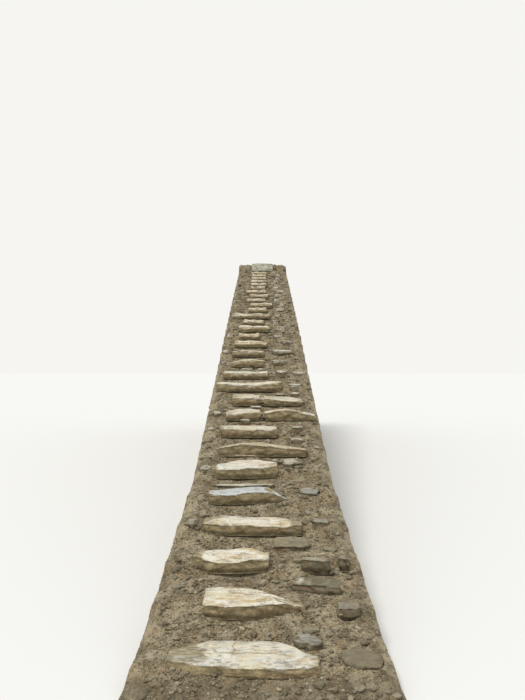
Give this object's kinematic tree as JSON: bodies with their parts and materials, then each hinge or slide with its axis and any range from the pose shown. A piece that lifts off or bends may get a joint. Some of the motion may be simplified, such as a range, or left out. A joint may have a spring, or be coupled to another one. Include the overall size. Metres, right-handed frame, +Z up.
{
  "type": "outdoor stone steps",
  "caption": "Long straight flight of rough natural stone slabs, each laid on a bed of rubble and packed earth, with smaller packing stones beside the slabs and a thick block at its head.",
  "frame": {"origin": "at ground level on the centreline, under the lowest slab", "axes": "+Z up, +Y along the flight in the direction in which it climbs, +X to the right of someone who climbs it"},
  "size_m": [1.7454, 13.236, 3.9212],
  "materials": {
    "slab_stone": "split and foot-worn",
    "packing_stone": "weathered",
    "head_stone": "weathered",
    "rubble_and_earth": "rough"
  },
  "bodies": {
    "root": {"tread_01": "slab_stone", "tread_02": "slab_stone", "tread_03": "slab_stone", "tread_04": "slab_stone", "tread_05": "slab_stone", "tread_06": "slab_stone", "tread_07": "slab_stone", "tread_08": "slab_stone", "tread_09": "slab_stone", "tread_10": "slab_stone", "tread_11": "slab_stone", "tread_12": "slab_stone", "tread_13": "slab_stone", "tread_14": "slab_stone", "tread_15": "slab_stone", "tread_16": "slab_stone", "tread_17": "slab_stone", "tread_18": "slab_stone", "tread_19": "slab_stone", "tread_20": "slab_stone", "tread_21": "slab_stone", "tread_22": "slab_stone", "tread_23": "slab_stone", "tread_24": "slab_stone", "tread_25": "slab_stone", "tread_26": "slab_stone", "tread_27": "slab_stone", "tread_28": "slab_stone", "tread_29": "slab_stone", "tread_30": "slab_stone", "side_stones_1": "packing_stone", "side_stones_2": "packing_stone", "side_stones_3": "packing_stone", "side_stones_4": "packing_stone", "side_stones_5": "packing_stone", "side_stones_6": "packing_stone", "landing_slab": "head_stone", "bed_1": "rubble_and_earth", "bed_2": "rubble_and_earth", "bed_3": "rubble_and_earth", "bed_4": "rubble_and_earth", "bed_5": "rubble_and_earth", "bed_6": "rubble_and_earth"}
  },
  "joints": []
}
